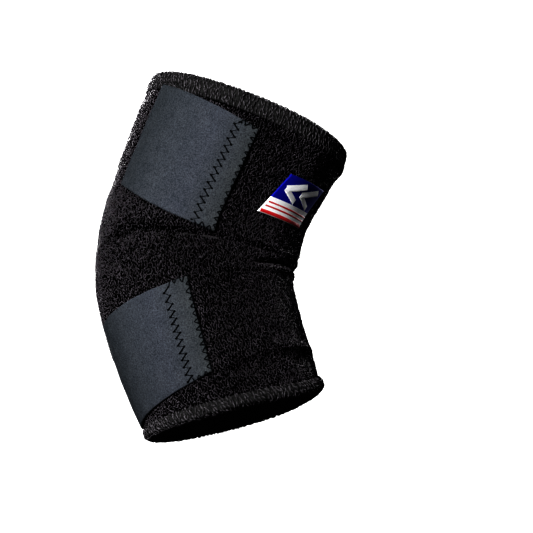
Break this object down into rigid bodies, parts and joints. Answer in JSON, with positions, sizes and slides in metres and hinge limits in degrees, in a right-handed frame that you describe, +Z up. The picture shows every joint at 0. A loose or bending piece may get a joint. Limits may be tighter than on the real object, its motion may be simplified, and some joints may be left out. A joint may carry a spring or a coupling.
{
  "type": "elbow brace",
  "caption": "Bent tubular elbow support of terry-faced neoprene, open at both ends, with rolled edges, wide sewn tape straps and a small sewn label.",
  "frame": {"origin": "middle of the elbow, on the middle line of the arm that wears the brace", "axes": "+Z up along the arm at the elbow, towards the upper arm; +X to the crook of the arm; -Y to the outer side, where the straps and the label are"},
  "size_m": [0.125, 0.1041, 0.1834],
  "materials": {
    "terry": "matte looped terry, near black",
    "edge_terry": "matte terry with overlock stitches, near black",
    "strap_tape": "smooth brushed tape, dark slate grey",
    "label_cloth": "fine woven label, blue, white and red"
  },
  "bodies": {
    "root": {"sleeve": "terry", "top_binding": "edge_terry", "bottom_binding": "edge_terry", "upper_strap": "strap_tape", "lower_strap": "strap_tape", "label": "label_cloth"}
  },
  "joints": []
}
